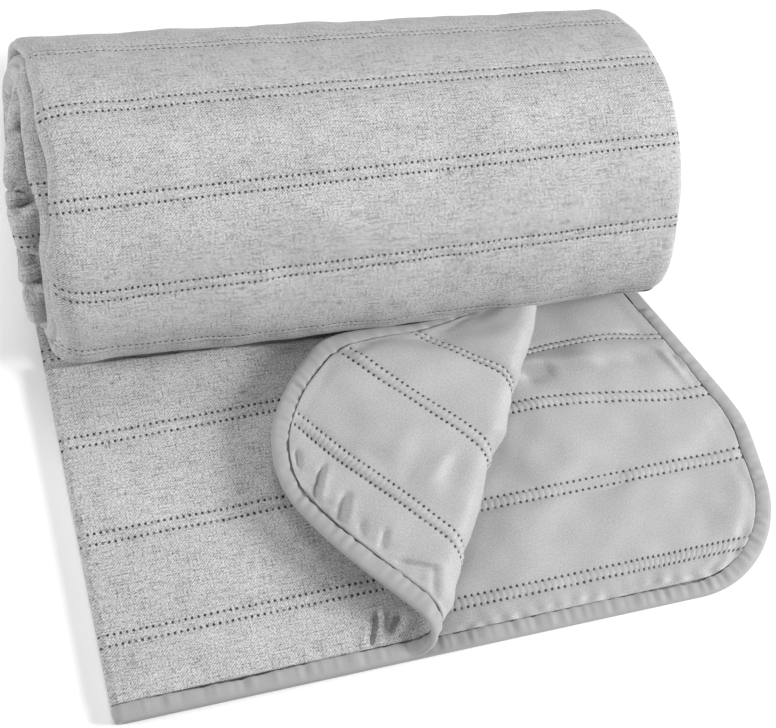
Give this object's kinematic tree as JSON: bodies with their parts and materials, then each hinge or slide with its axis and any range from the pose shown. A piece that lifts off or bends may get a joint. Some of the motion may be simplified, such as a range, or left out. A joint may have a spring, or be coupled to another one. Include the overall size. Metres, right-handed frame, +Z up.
{
  "type": "quilted bedspread",
  "caption": "Quilted grey bedspread folded lengthwise and rolled up, its loose bound end lying flat with one corner turned back to show the smooth lining.",
  "frame": {"origin": "on the floor, under the axis of the roll at the middle of its length", "axes": "+X along the quilting rows and the roll, -Y from the roll towards the loose bound end, +Z up"},
  "size_m": [0.4968, 0.4781, 0.1679],
  "materials": {
    "linen": "matt slubby linen weave",
    "satin": "smooth soft sheen",
    "tape": "smooth soft sheen"
  },
  "bodies": {
    "root": {"face_cloth": "linen", "lining_cloth": "satin", "binding": "tape"}
  },
  "joints": []
}
